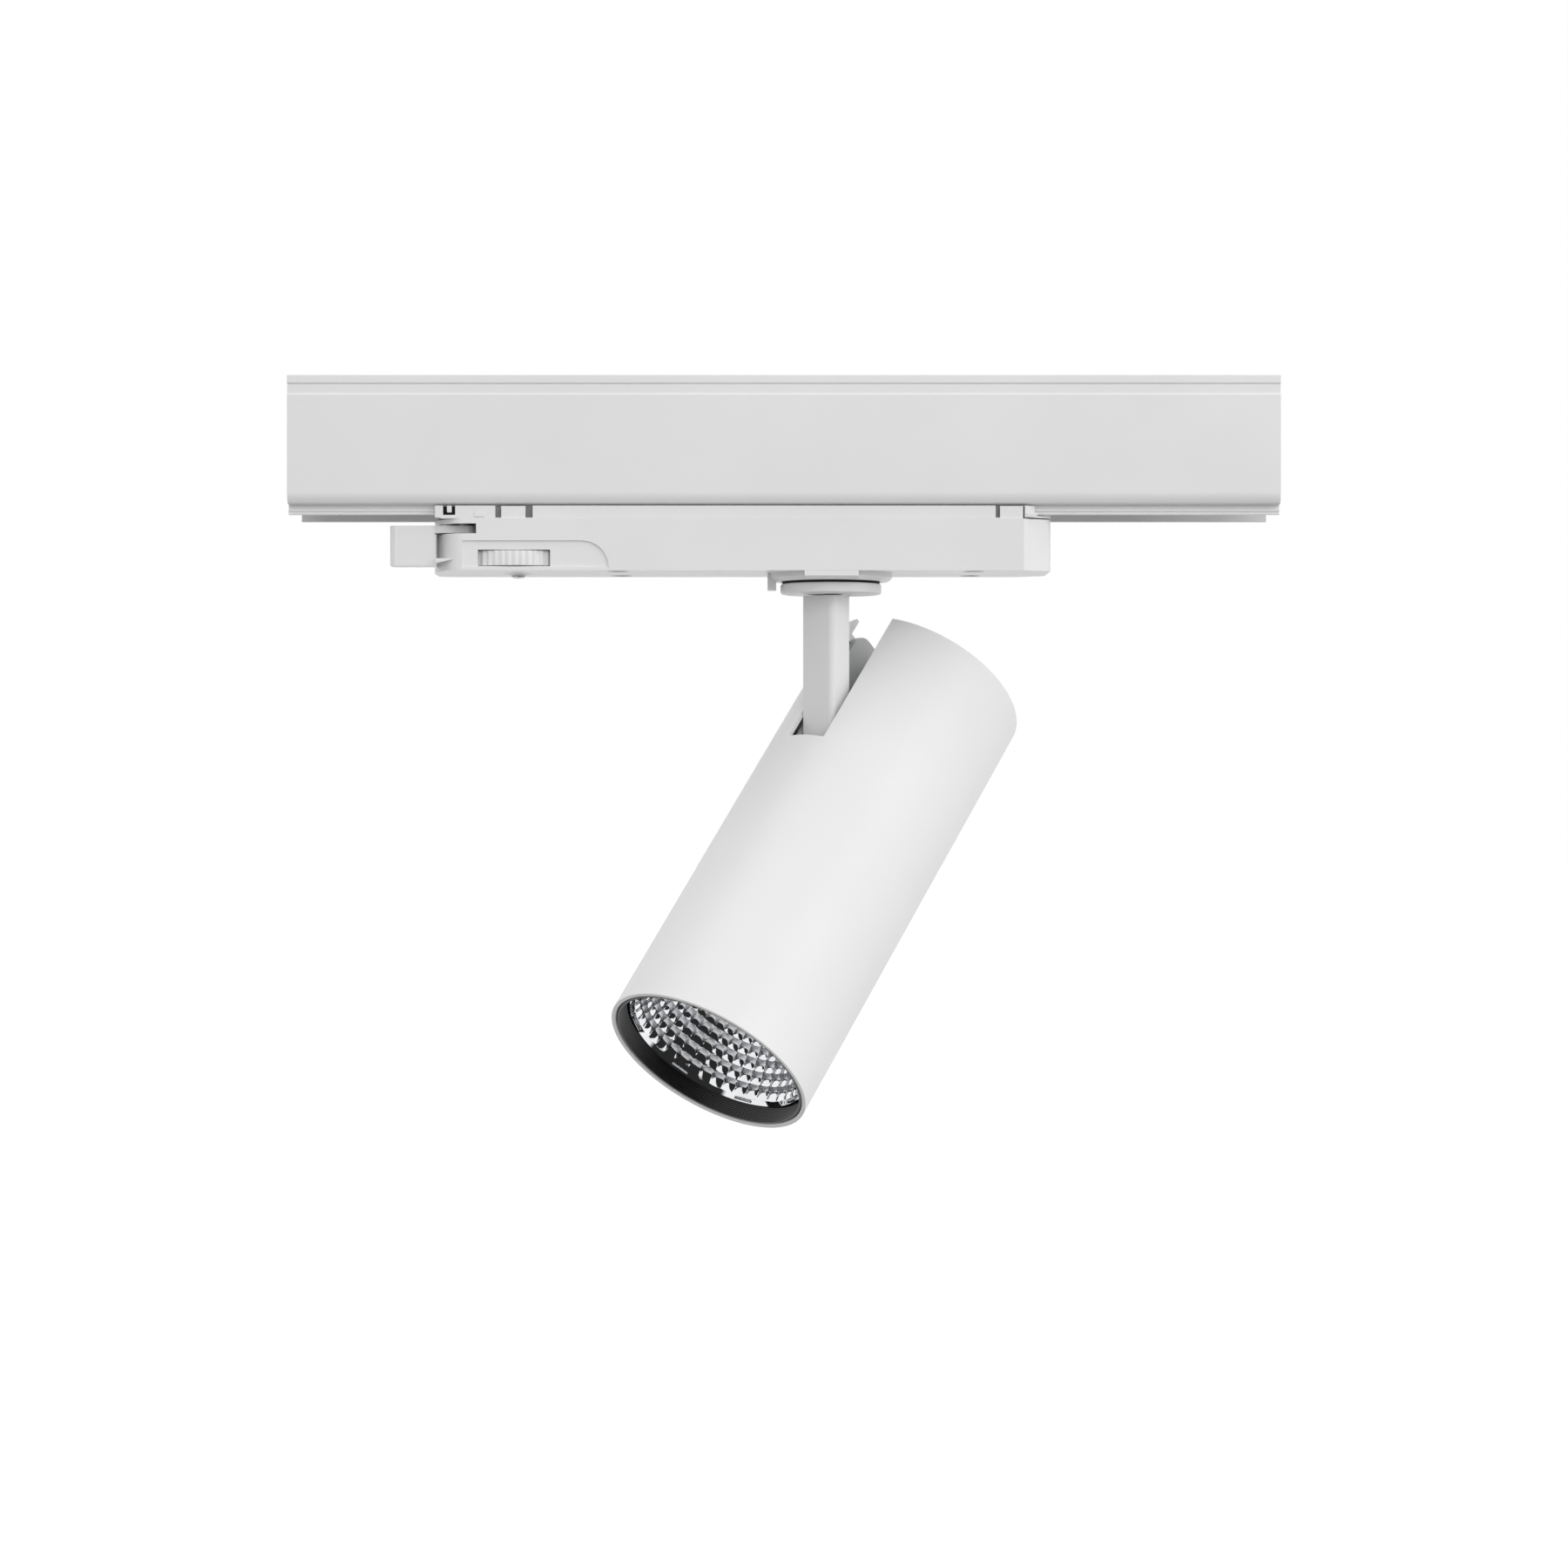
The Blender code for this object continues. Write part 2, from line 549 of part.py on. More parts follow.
def build_light_source(tilt, mats):
    axis = (HEAD_AXIS_X, 0.0, 0.0)
    bowl = []
    steps = 7
    for i in range(steps + 1):
        t = i / steps
        bowl.append((8.6 + 15.6 * t ** BOWL_POWER, -50.8 + (REFLECTOR_FRONT + 51.2) * t))
    outer = [(radius + 0.5, height + 0.4) for radius, height in reversed(bowl)]
    outer[0] = (24.6, REFLECTOR_FRONT + 0.9)
    add_object("reflector", lathe(bowl + outer, 36), mats["chrome"], tilt, axis)
    discs = (
        ("thermal_pad", disc_profile(14.0, SINK_BOTTOM - 0.8, SINK_BOTTOM - GAP), mats["dark"], 24),
        ("led_board", disc_profile(14.0, SINK_BOTTOM - 2.7, SINK_BOTTOM - 1.1), mats["board"], 24),
        ("led_emitter", disc_profile(6.0, SINK_BOTTOM - 4.0, SINK_BOTTOM - 3.0), mats["emitter"], 24),
        ("led_holder", ring_profile(6.4, 13.6, SINK_BOTTOM - 4.2, SINK_BOTTOM - 3.0), mats["white"], 24),
    )
    for name, profile, material, sides in discs:
        add_object(name, lathe(profile, sides), material, tilt, axis)


def build_heat_sink(tilt, metal):
    fins = 20
    points = []
    for i in range(fins):
        for step, radius in ((0.0, 25.4), (0.32, 25.4), (0.4, 11.5), (0.92, 11.5)):
            angle = 2.0 * math.pi * (i + step) / fins
            points.append((radius * math.cos(angle), radius * math.sin(angle)))
    shape = prism(points, SINK_BOTTOM, SINK_TOP)
    sink = add_object("heat_sink", shape, metal, tilt, (HEAD_AXIS_X, 0.0, 0.0))
    for index, x in enumerate((-12.0, -25.8)):
        hole = lathe(disc_profile(1.6, -18.5, 0.0), 12)
        cut(sink, hole, tilt, f"sink_hole_{index}", (x, 0.0, 0.0))


def cheek_outline():
    """One bracket cheek from the side: (height, reach) with a rounded outer rear corner."""
    points = [(SINK_TOP + GAP, -30.0), (SINK_TOP + 2.2, -30.0), (SINK_TOP + 2.2, -13.0)]
    points += [(24.0, -7.0), (CHEEK_REAR, -7.0)]
    points += arc((CHEEK_REAR - 4.0, CHEEK_REACH - 4.0), 4.0, 0.0, 90.0, 6)
    points += [(-4.0, CHEEK_REACH), (SINK_TOP + GAP, -1.0)]
    return points


def build_hinge(tilt, mats):
    bracket = add_object("hinge_bracket", prism(cheek_outline(), -7.2, 7.2, "Y"), mats["grey"], tilt)
    cut(bracket, box((-40.0, -5.7, SINK_TOP + 2.2), (20.0, 5.7, 50.0)), tilt, "bracket_channel")
    cut(bracket, lathe(disc_profile(1.8, -12.0, 12.0), 16, "Y"), tilt, "bracket_pin_hole")
    for index, x in enumerate((-12.0, -25.8), 1):
        cut(bracket, lathe(disc_profile(1.8, -12.0, 0.0), 12), tilt, f"bracket_hole_{index}", (x, 0.0, 0.0))
        profile = [(0.0, -17.5), (1.3, -17.5), (1.3, -6.5), (2.6, -6.5), (2.6, -4.6), (0.0, -4.6)]
        add_object(f"bracket_screw_{index}", lathe(profile, 12), mats["steel"], tilt, (x, 0.0, 0.0))
    pin = [(0.0, -9.6), (3.0, -9.6), (3.0, -7.5), (1.5, -7.5), (1.5, 10.4), (0.0, 10.4)]
    add_object("hinge_pin", lathe(pin, 16, "Y"), mats["steel"], tilt)
    add_object("hinge_nut", lathe(ring_profile(2.1, 3.4, 7.5, 9.9), 6, "Y"), mats["steel"], tilt)
    for side, word in ((-1.0, "left"), (1.0, "right")):
        ends = sorted((side * 5.2, side * 5.55))
        washer = lathe(ring_profile(1.8, 3.1, ends[0], ends[1]), 20, "Y")
        add_object(f"friction_washer_{word}", washer, mats["steel"], tilt)


def main():
    clear_scene()
    mats = {
        "paint": make_material("warm_white_paint", (0.78, 0.78, 0.77), 0.4, 0.0),
        "white": make_material("white_plastic", (0.80, 0.80, 0.79), 0.4, 0.0),
        "grey": make_material("grey_paint", (0.35, 0.35, 0.36), 0.45, 0.0),
        "dark": make_material("grey_plastic", (0.35, 0.35, 0.36), 0.5, 0.0),
        "black": make_material("black_plastic", (0.02, 0.02, 0.02), 0.5, 0.0),
        "steel": make_material("zinc_steel", (0.60, 0.60, 0.60), 0.35, 1.0),
        "copper": make_material("bare_copper", (0.80, 0.45, 0.30), 0.3, 1.0),
        "chrome": make_material("vapour_chrome", (0.85, 0.85, 0.85), 0.08, 1.0),
        "sink": make_material("cast_aluminium", (0.55, 0.55, 0.55), 0.5, 1.0),
        "board": make_material("circuit_board", (0.03, 0.15, 0.07), 0.5, 0.0),
        "emitter": make_material("phosphor", (0.85, 0.65, 0.10), 0.4, 0.0),
    }
    build_track(mats["paint"], mats["black"], mats["copper"])
    adapter = make_empty("adapter_slide_frame", (0.0, 0.0, 0.0))
    build_lower_housing(mats["white"], adapter)
    build_upper_body(mats["white"], adapter)
    build_driver(adapter, mats)
    lever = make_empty("lever_axis", (LEVER_X, LEVER_Y, 0.0), parent=adapter)
    build_lever(lever, mats["white"], mats["steel"])
    dial = make_empty("dial_axis", (DIAL_X, 0.0, 0.0), parent=adapter)
    build_dial(dial, mats["white"], mats["steel"])
    pan = make_empty("pan_axis", (PAN_X, 0.0, 0.0), (0.0, 0.0, PAN_ANGLE), adapter)
    build_swivel(adapter, pan, mats)
    build_arm(pan, mats["paint"])
    tilt = make_empty("tilt_axis", (HINGE_X, 0.0, HINGE_Z), (0.0, -TILT_ANGLE, 0.0), pan)
    build_head_shell(tilt, mats)
    build_light_source(tilt, mats)
    build_heat_sink(tilt, mats["sink"])
    build_hinge(tilt, mats)


main()
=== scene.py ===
import json
import math

import bpy
import bmesh
from mathutils import Matrix, Vector

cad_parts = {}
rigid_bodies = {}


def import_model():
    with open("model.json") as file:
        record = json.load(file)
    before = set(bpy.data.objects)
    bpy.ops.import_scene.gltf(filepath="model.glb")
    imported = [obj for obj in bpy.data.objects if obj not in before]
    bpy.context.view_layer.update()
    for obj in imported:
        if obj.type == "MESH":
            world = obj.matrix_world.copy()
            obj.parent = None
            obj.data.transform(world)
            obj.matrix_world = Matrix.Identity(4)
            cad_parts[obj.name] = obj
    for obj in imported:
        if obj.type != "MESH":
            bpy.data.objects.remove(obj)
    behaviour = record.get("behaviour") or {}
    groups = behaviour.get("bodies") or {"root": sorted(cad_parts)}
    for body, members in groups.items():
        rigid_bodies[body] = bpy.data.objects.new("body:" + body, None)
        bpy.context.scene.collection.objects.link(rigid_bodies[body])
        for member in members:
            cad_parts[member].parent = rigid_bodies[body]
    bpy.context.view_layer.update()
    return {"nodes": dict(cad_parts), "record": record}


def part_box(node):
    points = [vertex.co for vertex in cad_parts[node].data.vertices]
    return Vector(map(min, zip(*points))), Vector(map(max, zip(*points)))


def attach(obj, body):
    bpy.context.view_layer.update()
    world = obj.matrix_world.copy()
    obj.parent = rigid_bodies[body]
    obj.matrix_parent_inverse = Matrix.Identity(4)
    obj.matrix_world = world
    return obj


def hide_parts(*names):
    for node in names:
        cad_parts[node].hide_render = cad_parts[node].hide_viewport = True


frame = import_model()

nodes = frame["nodes"]
mm = 0.001
mergeWithin = 0.002 * mm  # points nearer than this are one
flatWithin = 1.0  # degrees between triangles that make one flat face


def deselectAll():
    for obj in bpy.context.view_layer.objects:
        obj.select_set(False)


def activate(obj):
    deselectAll()
    obj.select_set(True)
    bpy.context.view_layer.objects.active = obj
    return obj


def newest(name):
    obj = bpy.context.view_layer.objects.active
    obj.name = name
    return activate(obj)


def editing(obj):
    activate(obj)
    bpy.ops.object.mode_set(mode="EDIT")
    return bmesh.from_edit_mesh(obj.data)


def leaveEdit():
    bpy.ops.object.mode_set(mode="OBJECT")


def bakePlace(obj):
    activate(obj)
    bpy.ops.object.transform_apply(location=True, rotation=True, scale=True)


def applyModifiers(obj):
    activate(obj)
    for modifier in list(obj.modifiers):
        bpy.ops.object.modifier_apply(modifier=modifier.name)


def cleanSurface(obj):
    # doubles merged and normals turned outwards
    editing(obj)
    bpy.ops.mesh.select_all(action="SELECT")
    bpy.ops.mesh.remove_doubles(threshold=mergeWithin)
    bpy.ops.mesh.normals_make_consistent(inside=False)
    leaveEdit()


def smoothByAngle(obj, degrees=32):
    activate(obj)
    bpy.ops.object.shade_smooth_by_angle(angle=math.radians(degrees))
    # weighted normals keep broad faces flat beside their rounds
    weighted = obj.modifiers.new("evenNormals", "WEIGHTED_NORMAL")
    weighted.keep_sharp = True
    applyModifiers(obj)


def softenEdges(obj, width, segments=2, degrees=30):
    bevel = obj.modifiers.new("edgeRound", "BEVEL")
    bevel.width = width * mm
    bevel.segments = segments
    bevel.limit_method = "ANGLE"
    bevel.angle_limit = math.radians(degrees)
    bevel.use_clamp_overlap = True
    bevel.harden_normals = False
    applyModifiers(obj)


def cutAway(obj, cutter, operation="DIFFERENCE"):
    boolean = obj.modifiers.new("cut", "BOOLEAN")
    boolean.operation = operation
    boolean.solver = "EXACT"
    boolean.object = cutter
    applyModifiers(obj)
    bpy.data.objects.remove(cutter, do_unlink=True)
    deselectAll()


def addBlock(name, low, high):
    # a box between two corners, in millimetres
    centre = [(a + b) / 2 * mm for a, b in zip(low, high)]
    bpy.ops.mesh.primitive_cube_add(size=1, location=centre)
    obj = newest(name)
    obj.scale = [(b - a) * mm for a, b in zip(low, high)]
    bakePlace(obj)
    return obj


def startRing(name, radius, height, sides):
    bpy.ops.mesh.primitive_circle_add(vertices=sides, radius=radius * mm, location=(0, 0, height * mm))
    obj = newest(name)
    bakePlace(obj)
    editing(obj)
    bpy.ops.mesh.select_all(action="SELECT")
    return obj


def nextRing(radius, height, nextRadius, nextHeight):
    # extrudes the selected ring, moves it along its axis and scales it
    bpy.ops.mesh.extrude_region_move(TRANSFORM_OT_translate={"value": (0, 0, (nextHeight - height) * mm)})
    ratio = nextRadius / radius
    bpy.ops.transform.resize(value=(ratio, ratio, 1), center_override=(0, 0, nextHeight * mm))


def turnProfile(name, profile, sides, closed=True):
    # starts as one circle and grows ring by ring through the (radius, height) pairs
    obj = startRing(name, *profile[0], sides)
    for here, there in zip(profile, profile[1:]):
        nextRing(*here, *there)
    if closed:  # bridges the last ring back to the first
        nextRing(*profile[-1], *profile[0])
    else:  # caps both ends
        bpy.ops.mesh.select_all(action="SELECT")
        bpy.ops.mesh.region_to_loop()
        bpy.ops.mesh.edge_face_add()
    leaveEdit()
    if not closed:
        capOpenRings(obj)
    cleanSurface(obj)
    return obj


def capOpenRings(obj):
    mesh = editing(obj)
    bpy.ops.mesh.select_mode(type="EDGE")
    bpy.ops.mesh.select_all(action="DESELECT")
    for edge in mesh.edges:
        edge.select_set(len(edge.link_faces) < 2)
    bmesh.update_edit_mesh(obj.data)
    if any(edge.select for edge in mesh.edges):
        bpy.ops.mesh.edge_face_add()
    leaveEdit()


def copyOfNode(name, nodeName):
    # a detailed piece that starts from the node's own mesh, with its flat areas made whole again
    source = nodes[nodeName]
    obj = bpy.data.objects.new(name, source.data.copy())
    bpy.context.scene.collection.objects.link(obj)
    obj.data.materials.clear()
    editing(obj)
    bpy.ops.mesh.select_all(action="SELECT")
    bpy.ops.mesh.remove_doubles(threshold=mergeWithin)
    bpy.ops.mesh.dissolve_limited(angle_limit=math.radians(flatWithin))
    leaveEdit()
    return obj


def finishPiece(obj, body, material, replaced=(), smooth=32):
    bakePlace(obj)
    if smooth:
        smoothByAngle(obj, smooth)
    obj.data.materials.clear()
    obj.data.materials.append(material)
    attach(obj, body)
    if replaced:
        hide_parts(*replaced)
    deselectAll()
    return obj


joints = {joint["name"]: joint for joint in frame["record"]["behaviour"]["joints"]}
panPoint = Vector(joints["pan"]["pos_m"])
tiltPoint = Vector(joints["tilt"]["pos_m"])
tiltAxis = Vector(joints["tilt"]["axis"])
restTilt = math.radians(-joints["tilt"]["range_deg"][0])
dialPoint = Vector(joints["circuit_dial_turn"]["pos_m"])
sideways = -tiltAxis.normalized()
panTurn = math.atan2(-sideways.x, sideways.y)
panTurned = Matrix.Rotation(panTurn, 4, "Z")
panPlace = Matrix.Translation((panPoint.x, panPoint.y, 0)) @ panTurned
tiltPlace = Matrix.Translation(tiltPoint) @ panTurned @ Matrix.Rotation(-restTilt, 4, "Y")
headOffset = -18.9  # the tube's centre line from the hinge, mm
headPlace = tiltPlace @ Matrix.Translation((headOffset * mm, 0, 0))
print("frame read, head placed")


def placeBy(obj, matrix):
    obj.matrix_world = matrix
    bakePlace(obj)
    return obj


def toLinear(hexColour):
    values = []
    for i in (0, 2, 4):
        part = int(hexColour[i:i + 2], 16) / 255
        values.append(part / 12.92 if part <= 0.04045 else ((part + 0.055) / 1.055) ** 2.4)
    return (*values, 1.0)


def addNode(tree, kind, settings=None, links=None):
    node = tree.nodes.new(kind)
    for key, value in (settings or {}).items():
        if hasattr(node, key) and key not in node.inputs:
            setattr(node, key, value)
        else:
            node.inputs[key].default_value = value
    for key, socket in (links or {}).items():
        tree.links.new(socket, node.inputs[key])
    return node


def newMaterial(name, settings):
    material = bpy.data.materials.new(name)
    material.use_nodes = True
    shader = material.node_tree.nodes["Principled BSDF"]
    for key, value in settings.items():
        shader.inputs[key].default_value = value
    return material, material.node_tree, shader


def grainBump(tree, shader, grainMm, depthMm, detail, strength):
    coords = addNode(tree, "ShaderNodeTexCoord")
    noise = addNode(tree, "ShaderNodeTexNoise",
                    {"Scale": 1 / (grainMm * mm), "Detail": detail, "Roughness": 0.55},
                    {"Vector": coords.outputs["Object"]})
    bump = addNode(tree, "ShaderNodeBump",
                   {"Strength": strength, "Distance": depthMm * mm},
                   {"Height": noise.outputs["Fac"]})
    tree.links.new(bump.outputs["Normal"], shader.inputs["Normal"])
    return coords


def mottle(tree, shader, coords, patchMm, low, high):
    # the roughness changes slowly over the surface, between two values
    patches = addNode(tree, "ShaderNodeTexNoise", {"Scale": 1 / (patchMm * mm), "Detail": 2.0},
                      {"Vector": coords.outputs["Object"]})
    spread = addNode(tree, "ShaderNodeMapRange", {"To Min": low, "To Max": high},
                     {"Value": patches.outputs["Fac"]})
    tree.links.new(spread.outputs["Result"], shader.inputs["Roughness"])


def tint(tree, shader, coords, patchMm, hexA, hexB):
    # the colour drifts between two near shades
    patches = addNode(tree, "ShaderNodeTexNoise", {"Scale": 1 / (patchMm * mm), "Detail": 3.0},
                      {"Vector": coords.outputs["Object"]})
    ramp = addNode(tree, "ShaderNodeValToRGB", links={"Fac": patches.outputs["Fac"]})
    ramp.color_ramp.elements[0].position = 0.35
    ramp.color_ramp.elements[0].color = toLinear(hexA)
    ramp.color_ramp.elements[1].position = 0.65
    ramp.color_ramp.elements[1].color = toLinear(hexB)
    tree.links.new(ramp.outputs["Color"], shader.inputs["Base Color"])


# polyester powder coat on aluminium, baked: satin with a faint orange peel about 0.7 mm across
powderCoat, tree, shader = newMaterial("satinPowderCoat", {"Roughness": 0.42, "IOR": 1.50})
coords = grainBump(tree, shader, grainMm=0.7, depthMm=0.012, detail=2.0, strength=0.6)
mottle(tree, shader, coords, patchMm=18, low=0.38, high=0.46)
tint(tree, shader, coords, patchMm=40, hexA="E6E6E6", hexB="E9E9E9")

# injection-moulded polycarbonate with a spark-eroded tool surface: finer, slightly glossier than the coat
polycarbonate, tree, shader = newMaterial("mouldedPolycarbonate", {"Roughness": 0.36, "IOR": 1.585})
coords = grainBump(tree, shader, grainMm=0.35, depthMm=0.006, detail=2.0, strength=0.6)
mottle(tree, shader, coords, patchMm=12, low=0.32, high=0.40)
tint(tree, shader, coords, patchMm=30, hexA="E7E7E7", hexB="EAEAEA")

# black moulded polycarbonate, matt so that stray light dies in its grooves
mattBlack, tree, shader = newMaterial("mattBlackPolycarbonate", {"Roughness": 0.45, "IOR": 1.585})
coords = grainBump(tree, shader, grainMm=0.25, depthMm=0.008, detail=3.0, strength=0.7)
tint(tree, shader, coords, patchMm=6, hexA="141415", hexB="1B1B1C")

# vacuum-metallised aluminium on a moulded bowl: mirror bright with a faint haze
mirrorCoat, tree, shader = newMaterial("vacuumAluminium", {"Metallic": 1.0, "Roughness": 0.025})
coords = grainBump(tree, shader, grainMm=1.2, depthMm=0.001, detail=1.0, strength=0.15)
tint(tree, shader, coords, patchMm=8, hexA="DADBDD", hexB="E4E5E7")

# zinc-plated steel fasteners: cool grey, a little cloudy from the plating bath
zincSteel, tree, shader = newMaterial("zincPlatedSteel", {"Metallic": 1.0, "Roughness": 0.32})
coords = grainBump(tree, shader, grainMm=0.5, depthMm=0.004, detail=3.0, strength=0.6)
mottle(tree, shader, coords, patchMm=2.5, low=0.24, high=0.42)
tint(tree, shader, coords, patchMm=3, hexA="AEB1B6", hexB="C2C4C6")

# bare drawn copper with the first brown breath of oxide
bareCopper, tree, shader = newMaterial("drawnCopper", {"Metallic": 1.0, "Roughness": 0.28})
coords = grainBump(tree, shader, grainMm=0.6, depthMm=0.003, detail=2.0, strength=0.6)
tint(tree, shader, coords, patchMm=9, hexA="C57B57", hexB="D9966F")

# die-cast aluminium, shot-blasted: grey, even and matt
castAluminium, tree, shader = newMaterial("dieCastAluminium", {"Metallic": 1.0, "Roughness": 0.52})
coords = grainBump(tree, shader, grainMm=0.4, depthMm=0.02, detail=3.0, strength=0.8)
tint(tree, shader, coords, patchMm=5, hexA="9EA0A3", hexB="B2B4B6")

# folded steel under light grey powder coat
greyCoat, tree, shader = newMaterial("greyPowderCoat", {"Roughness": 0.45, "IOR": 1.50})
coords = grainBump(tree, shader, grainMm=0.6, depthMm=0.012, detail=2.0, strength=0.6)
tint(tree, shader, coords, patchMm=20, hexA="B9BABB", hexB="C0C1C2")

# filled silicone sheet, soft and dull
siliconePad, tree, shader = newMaterial("filledSilicone", {"Roughness": 0.7, "IOR": 1.43})
coords = grainBump(tree, shader, grainMm=0.3, depthMm=0.01, detail=3.0, strength=0.8)
tint(tree, shader, coords, patchMm=4, hexA="7E8084", hexB="8B8D90")

# grey PBT moulding for the terminal block and the bush
greyPbt, tree, shader = newMaterial("greyPbt", {"Roughness": 0.5, "IOR": 1.55})
coords = grainBump(tree, shader, grainMm=0.3, depthMm=0.008, detail=3.0, strength=0.7)
tint(tree, shader, coords, patchMm=8, hexA="8C8E90", hexB="96989A")

# EPDM rubber seal, dull black with a dusty bloom
rubberSeal, tree, shader = newMaterial("epdmRubber", {"Roughness": 0.75, "IOR": 1.50})
coords = grainBump(tree, shader, grainMm=0.2, depthMm=0.006, detail=3.0, strength=0.8)
tint(tree, shader, coords, patchMm=3, hexA="161616", hexB="222222")

# glass-epoxy board under green solder mask: the weave shows faintly through it
circuitBoard, tree, shader = newMaterial("greenSolderMask", {
    "Roughness": 0.35, "IOR": 1.55, "Coat Weight": 0.3})
coords = grainBump(tree, shader, grainMm=0.5, depthMm=0.01, detail=2.0, strength=0.7)
tint(tree, shader, coords, patchMm=2, hexA="0F4A2A", hexB="156036")

# white solder mask on the lamp's metal-core board
whiteBoard, tree, shader = newMaterial("whiteSolderMask", {"Roughness": 0.4, "IOR": 1.52})
coords = grainBump(tree, shader, grainMm=0.4, depthMm=0.006, detail=2.0, strength=0.7)
tint(tree, shader, coords, patchMm=5, hexA="E2E2DE", hexB="ECECE8")

# yellow phosphor in clear silicone, unlit: a grainy powder under a glossy skin
phosphor, tree, shader = newMaterial("phosphorSilicone", {"Roughness": 0.3, "IOR": 1.43, "Coat Weight": 0.6})
coords = grainBump(tree, shader, grainMm=0.15, depthMm=0.01, detail=3.0, strength=0.8)
tint(tree, shader, coords, patchMm=0.6, hexA="E0B22A", hexB="F0C94A")

# ferrite and potting: dark grey, slightly rough
blackFerrite, tree, shader = newMaterial("blackFerrite", {"Roughness": 0.6, "IOR": 1.6})
coords = grainBump(tree, shader, grainMm=0.3, depthMm=0.02, detail=4.0, strength=0.8)
tint(tree, shader, coords, patchMm=3, hexA="1E1F21", hexB="2B2C2E")
print("materials ready")


def inMm(values):
    return tuple(value * mm for value in values)


# the pieces' sizes are in millimetres and their angles in degrees
trackSettings = {"edge": 0.22, "insulatorEdge": 0.15, "stripEdge": 0.2, "stripRows": (1, 2)}
track = copyOfNode("trackExtrusion", "track_profile")
softenEdges(track, trackSettings["edge"], degrees=25)
finishPiece(track, "track", powderCoat, ["track_profile"])
for word in ("front", "back"):
    strip = copyOfNode(f"insulator{word.title()}", f"track_insulator_{word}")
    softenEdges(strip, trackSettings["insulatorEdge"])
    finishPiece(strip, "track", mattBlack, [f"track_insulator_{word}"])
    for number in trackSettings["stripRows"]:
        bar = copyOfNode(f"conductor{word.title()}{number}", f"track_conductor_{word}_{number}")
        softenEdges(bar, trackSettings["stripEdge"], segments=3)
        finishPiece(bar, "track", bareCopper, [f"track_conductor_{word}_{number}"])
print("track done")


adapterSettings = {"edge": 0.3, "skirtEdge": 0.2}
housing = copyOfNode("driverHousing", "adapter_lower_housing")
softenEdges(housing, adapterSettings["edge"])

catchSettings = {"low": (-87.8, -16.2, -47.2), "high": (-83.0, -11.0, -46.0), "middle": -85,
                 "tip": (-83.0, 0, -46.1), "tipHeight": 0.15, "edge": 0.12}
wedge = addBlock("cornerCatch", catchSettings["low"], catchSettings["high"])
mesh = editing(wedge)
bpy.ops.mesh.select_all(action="DESELECT")
for vertex in mesh.verts:  # the catch thins to a point at its inner end
    vertex.select_set(vertex.co.x > catchSettings["middle"] * mm)
bmesh.update_edit_mesh(wedge.data)
bpy.ops.transform.resize(value=(1, 1, catchSettings["tipHeight"]), center_override=inMm(catchSettings["tip"]))
leaveEdit()
softenEdges(wedge, catchSettings["edge"])
finishPiece(wedge, "adapter", polycarbonate)
finishPiece(housing, "adapter", polycarbonate, ["adapter_lower_housing"])

skirt = copyOfNode("channelBody", "adapter_upper_body")
softenEdges(skirt, adapterSettings["skirtEdge"])
finishPiece(skirt, "adapter", polycarbonate, ["adapter_upper_body"])

nubSettings = {"edge": 0.15, "corners": (
    ((-84.9, -16.5, -34.5), (-83.7, -14.95, -32.8)),
    ((-78.0, -16.95, -35.7), (-75.4, -16.6, -34.4)),
    ((61.0, -16.95, -35.7), (63.8, -16.6, -34.7)),
    ((-84.9, 14.95, -34.5), (-83.7, 16.5, -32.8)),
    ((-78.0, 16.6, -35.7), (-75.4, 16.95, -34.4)),
    ((61.0, 16.6, -35.7), (63.8, 16.95, -34.7)),
)}
for index, (low, high) in enumerate(nubSettings["corners"]):
    nub = addBlock(f"skirtNub{index}", low, high)
    softenEdges(nub, nubSettings["edge"])
    finishPiece(nub, "adapter", polycarbonate)

# painted shade: black and grey strips behind the end windows and in the snap tabs' slots, dark sheets that
# stand in for the shade inside these openings
shadeLiningSettings = {"inner": 14.87, "outer": 15.05, "low": -35.7, "high": -32.9, "edge": 0.04, "spans": (
    (-86.6, -82.0, "black_plastic", mattBlack),
    (-73.4, -62.6, "grey_plastic", greyPbt),
    (52.6, 61.2, "grey_plastic", greyPbt),
)}
# thin tongues that fill the joint line between the two mouldings
tongueSettings = {"inner": 15.9, "outer": 16.85, "left": -86.5, "right": 60.0,
                  "low": -36.08, "high": -35.82, "edge": 0.05}


def sideSpan(side, settings):
    return sorted((side * settings["inner"], side * settings["outer"]))


for side, word in ((-1, "Front"), (1, "Back")):
    near, far = sideSpan(side, shadeLiningSettings)
    for index, (left, right, slotName, material) in enumerate(shadeLiningSettings["spans"]):
        # each strip is a dark sheet of painted shade, not a real part
        shadeLining = addBlock(f"paintedShadeLining{word}{index}", (left, near, shadeLiningSettings["low"]),
                          (right, far, shadeLiningSettings["high"]))
        softenEdges(shadeLining, shadeLiningSettings["edge"], segments=1)
        finishPiece(shadeLining, "adapter", material)
    near, far = sideSpan(side, tongueSettings)
    tongue = addBlock(f"seamTongue{word}", (tongueSettings["left"], near, tongueSettings["low"]),
                      (tongueSettings["right"], far, tongueSettings["high"]))
    softenEdges(tongue, tongueSettings["edge"], segments=1)
    finishPiece(tongue, "adapter", polycarbonate)


def crossCutter(x, y, settings):
    # two crossed bars that sink a cross slot into a screw head
    low, high = settings["crossLow"], settings["crossHigh"]
    reach, half = settings["crossSpan"] / 2, settings["crossHalf"]
    first = addBlock("crossA", (x - reach, y - half, low), (x + reach, y + half, high))
    second = addBlock("crossB", (x - half, y - reach, low), (x + half, y + reach, high))
    cutAway(first, second, "UNION")
    return first


